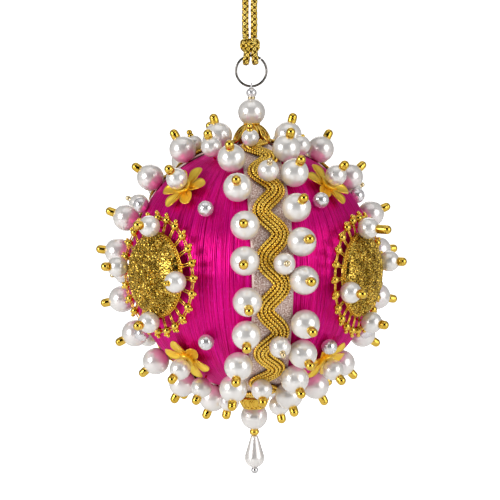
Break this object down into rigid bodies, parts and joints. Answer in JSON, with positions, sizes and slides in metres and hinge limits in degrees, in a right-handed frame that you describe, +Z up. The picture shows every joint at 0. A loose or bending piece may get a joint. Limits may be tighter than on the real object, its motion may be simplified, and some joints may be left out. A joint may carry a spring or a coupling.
{
  "type": "satin ball ornament",
  "caption": "Hanging ball ornament wound in magenta satin floss, with ribbons, wavy gold braid, pinned pearls, rosettes, flowers and a pearl drop.",
  "frame": {"origin": "the point inside the top of the cord loop where the ornament hangs", "axes": "+Z up along the hanging axis, -Y towards the viewer, +X to the viewer's right"},
  "size_m": [0.0963, 0.0969, 0.1633],
  "materials": {
    "satin_floss": "shiny magenta satin floss wound from pole to pole",
    "ribbon": "pale dusty-pink shimmering woven ribbon",
    "gold_braid": "gold metallic thread braid",
    "gold": "polished gold plate",
    "pearl": "pearl lacquer",
    "silver": "polished silver plate",
    "gold_cord": "gold metallic braided cord"
  },
  "bodies": {
    "root": {"bottom_cap": "gold", "bottom_pearl": "pearl", "braid_front": "gold_braid", "braid_left": "gold_braid", "braid_right": "gold_braid", "cord_knot": "gold_cord", "cord_loop": "gold_cord", "drop": "pearl", "end_bead": "silver", "flower_lower_back": "gold", "flower_lower_left": "gold", "flower_lower_right": "gold", "flower_pearl_lower_back": "pearl", "flower_pearl_lower_left": "pearl", "flower_pearl_lower_right": "pearl", "flower_pearl_upper_back": "pearl", "flower_pearl_upper_left": "pearl", "flower_pearl_upper_right": "pearl", "flower_upper_back": "gold", "flower_upper_left": "gold", "flower_upper_right": "gold", "panel_pearl_bottom_left": "pearl", "panel_pearl_bottom_right": "pearl", "panel_pearl_lower_back": "pearl", "panel_pearl_lower_left": "pearl", "panel_pearl_upper_back": "pearl", "panel_pearl_upper_left": "pearl", "panel_pearl_upper_right": "pearl", "pearl_row_front_left": "pearl", "pearl_row_front_right": "pearl", "pearl_row_left_far": "pearl", "pearl_row_left_near": "pearl", "pearl_row_right_far": "pearl", "pearl_row_right_near": "pearl", "ribbon_front": "ribbon", "ribbon_left": "ribbon", "ribbon_right": "ribbon", "ring": "silver", "rondelle": "gold", "rosette_back": "gold", "rosette_left": "gold", "rosette_pearl_back_bottom": "pearl", "rosette_pearl_back_left": "pearl", "rosette_pearl_back_right": "pearl", "rosette_pearl_back_top": "pearl", "rosette_pearl_left_bottom": "pearl", "rosette_pearl_left_left": "pearl", "rosette_pearl_left_right": "pearl", "rosette_pearl_left_top": "pearl", "rosette_pearl_right_bottom": "pearl", "rosette_pearl_right_left": "pearl", "rosette_pearl_right_right": "pearl", "rosette_pearl_right_top": "pearl", "rosette_right": "gold", "satin_ball": "satin_floss", "top_bead": "silver", "top_cap": "gold", "top_pearl": "pearl"}
  },
  "joints": []
}
